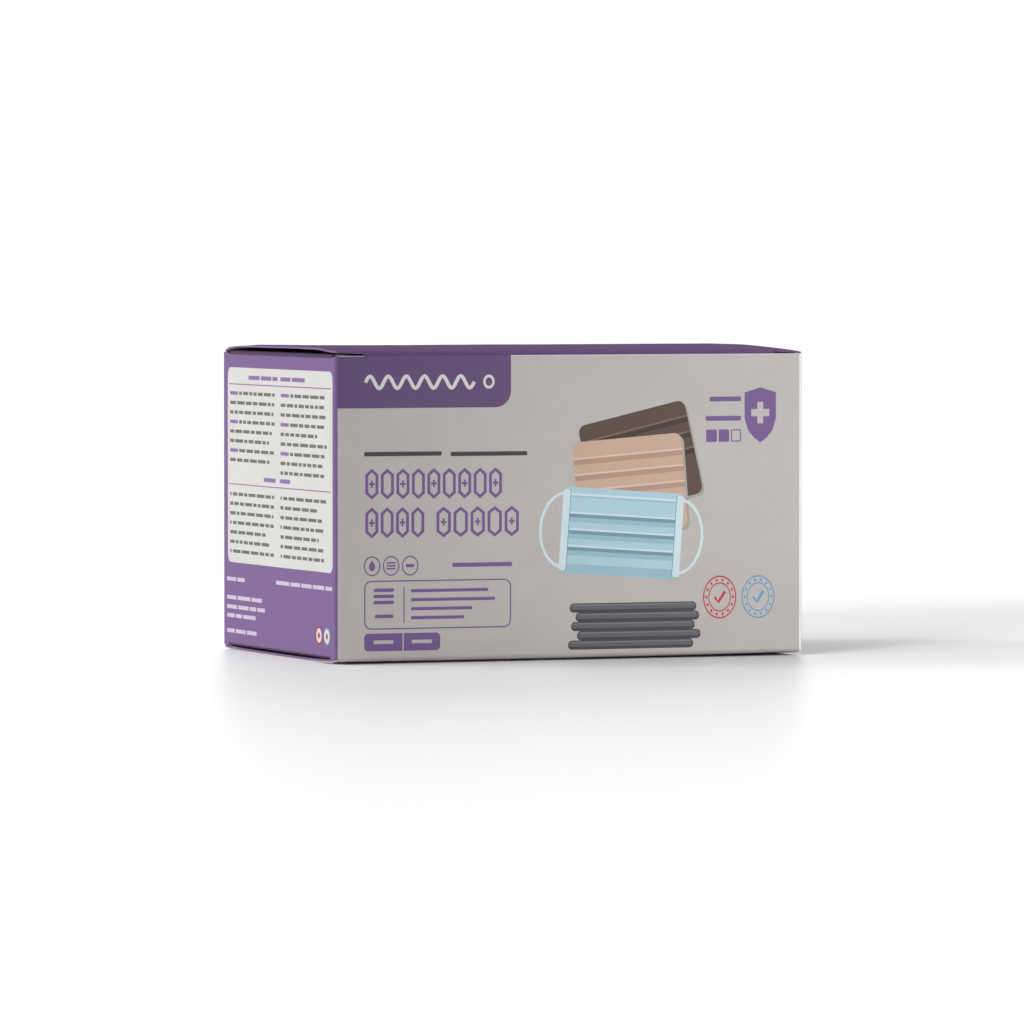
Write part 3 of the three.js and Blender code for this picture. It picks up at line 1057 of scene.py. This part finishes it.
def make_camera():
    data = bpy.data.cameras.new("camera")
    data.lens = CAMERA_LENS
    data.clip_start, data.clip_end = 0.05, 50
    camera = bpy.data.objects.new("camera", data)
    bpy.context.scene.collection.objects.link(camera)
    ahead = Vector((
        math.sin(CAMERA_YAW) * math.cos(CAMERA_DOWN),
        math.cos(CAMERA_YAW) * math.cos(CAMERA_DOWN),
        -math.sin(CAMERA_DOWN),
    ))
    camera.location = CAMERA_PLACE
    camera.rotation_mode = "QUATERNION"
    camera.rotation_quaternion = ahead.to_track_quat("-Z", "Y")
    bpy.context.scene.camera = camera


def add_light(name, kind, ahead, power, receivers=None):
    """A light that shines along ahead, and only on the objects in receivers if those are given."""
    data = bpy.data.lights.new(name, kind)
    data.energy = power
    light = bpy.data.objects.new(name, data)
    bpy.context.scene.collection.objects.link(light)
    light.rotation_mode = "QUATERNION"
    light.rotation_quaternion = ahead.to_track_quat("-Z", "Y")
    light.visible_camera = False
    light.light_linking.receiver_collection = receivers
    return light


def soft_sun(name, bearing, height, softness, power, receivers, glossy=False):
    """Soft light from far away. Its bearing is 0 behind the carton for the camera, and 90 at the right."""
    turn, rise = CAMERA_YAW + math.radians(bearing), math.radians(height)
    towards = Vector((math.sin(turn) * math.cos(rise), math.cos(turn) * math.cos(rise), math.sin(rise)))
    light = add_light(name, "SUN", -towards, power, receivers)
    light.data.angle = math.radians(softness)
    light.visible_glossy = glossy
    return light


def light_pool(name, place, target, cone, power, receivers=None):
    """A round pool of light that fades towards its rim."""
    light = add_light(name, "SPOT", Vector(target) - Vector(place), power, receivers)
    light.location = place
    light.data.spot_size = math.radians(cone)
    light.data.spot_blend = 1.0
    light.data.shadow_soft_size = 0.08
    return light


def floor_material():
    """A matt white surface with a faint, blurred reflection."""
    white = bpy.data.materials.new("floor_white")
    white.use_nodes = True
    nodes, links = white.node_tree.nodes, white.node_tree.links
    shader = nodes["Principled BSDF"]
    shader.inputs["Base Color"].default_value = (FLOOR_SHADE, FLOOR_SHADE, FLOOR_SHADE, 1)
    shader.inputs["Roughness"].default_value = 0.7
    shader.inputs["Specular IOR Level"].default_value = 0.0
    gloss = nodes.new("ShaderNodeBsdfAnisotropic")
    gloss.inputs["Color"].default_value = (0.9, 0.9, 0.9, 1)
    gloss.inputs["Roughness"].default_value = 0.35
    mix = nodes.new("ShaderNodeMixShader")
    mix.inputs["Fac"].default_value = FLOOR_GLOSS
    links.new(shader.outputs["BSDF"], mix.inputs[1])
    links.new(gloss.outputs["BSDF"], mix.inputs[2])
    links.new(mix.outputs["Shader"], nodes["Material Output"].inputs["Surface"])
    return white


def linked_set(name, obj, state):
    """A collection that tells a light to shine only on an object, or on everything else."""
    made = bpy.data.collections.new(name)
    made.objects.link(obj)
    made.collection_objects[0].light_linking.link_state = state
    return made


def make_stage():
    bpy.context.scene.view_settings.view_transform = "Standard"
    mesh = bpy.data.meshes.new("floor")
    reach = FLOOR_REACH
    corners = [(-reach, -reach, 0), (reach, -reach, 0), (reach, reach, 0), (-reach, reach, 0)]
    mesh.from_pydata(corners, [], [(0, 1, 2, 3)])
    floor = bpy.data.objects.new("floor", mesh)
    bpy.context.scene.collection.objects.link(floor)
    mesh.materials.append(floor_material())
    floor_only = linked_set("floor_only", floor, "INCLUDE")
    not_floor = linked_set("not_floor", floor, "EXCLUDE")

    world = bpy.data.worlds.new("studio")
    bpy.context.scene.world = world
    world.use_nodes = True
    nodes, links = world.node_tree.nodes, world.node_tree.links
    ambient = nodes["Background"]
    ambient.inputs["Strength"].default_value = AMBIENT
    ambient.inputs["Color"].default_value = (1, 1, 1, 1)
    backdrop = nodes.new("ShaderNodeBackground")
    backdrop.inputs["Color"].default_value = (1, 1, 1, 1)
    backdrop.inputs["Strength"].default_value = BACKDROP
    rays = nodes.new("ShaderNodeLightPath")
    mix = nodes.new("ShaderNodeMixShader")
    links.new(rays.outputs["Is Camera Ray"], mix.inputs["Fac"])
    links.new(ambient.outputs["Background"], mix.inputs[1])
    links.new(backdrop.outputs["Background"], mix.inputs[2])
    links.new(mix.outputs["Shader"], nodes["World Output"].inputs["Surface"])

    soft_sun("key", -95, 28, 50, 1.1, not_floor)
    for bearing, height, softness, share in FLOOR_SIDE_LIGHTS:
        power = share * math.pi / (FLOOR_SHADE * (1 - FLOOR_GLOSS) * math.sin(math.radians(height)))
        soft_sun("floor_side", bearing, height, softness, power, floor_only)
    soft_sun("floor_back", 0, 13, 48, 0.88, floor_only, glossy=True)
    light_pool("front_fill", (0.5, -0.85, 0.16), (0.088, -DEPTH / 2 * MM, 0.04), 22, 13.5, not_floor)


make_camera()
make_sleeve()
make_closure(
    Closure(LID_CROWN, LID_BULGE, TOP, False, 0.0), "lid", "top_dust",
    "lid_ink", "lid_ink", "crease_painted_shade_ink", (0.75, None, None), "lid_edge_ink",
)
make_closure(
    Closure(BASE_CROWN, BOTTOM, BOTTOM, True, 0.9), "base", "base_dust",
    "purple_ink", "grey_ink", "crease_painted_shade_ink", (0.3, RAW, INKS["end_purple_ink"]), "purple_ink",
)
make_stage()
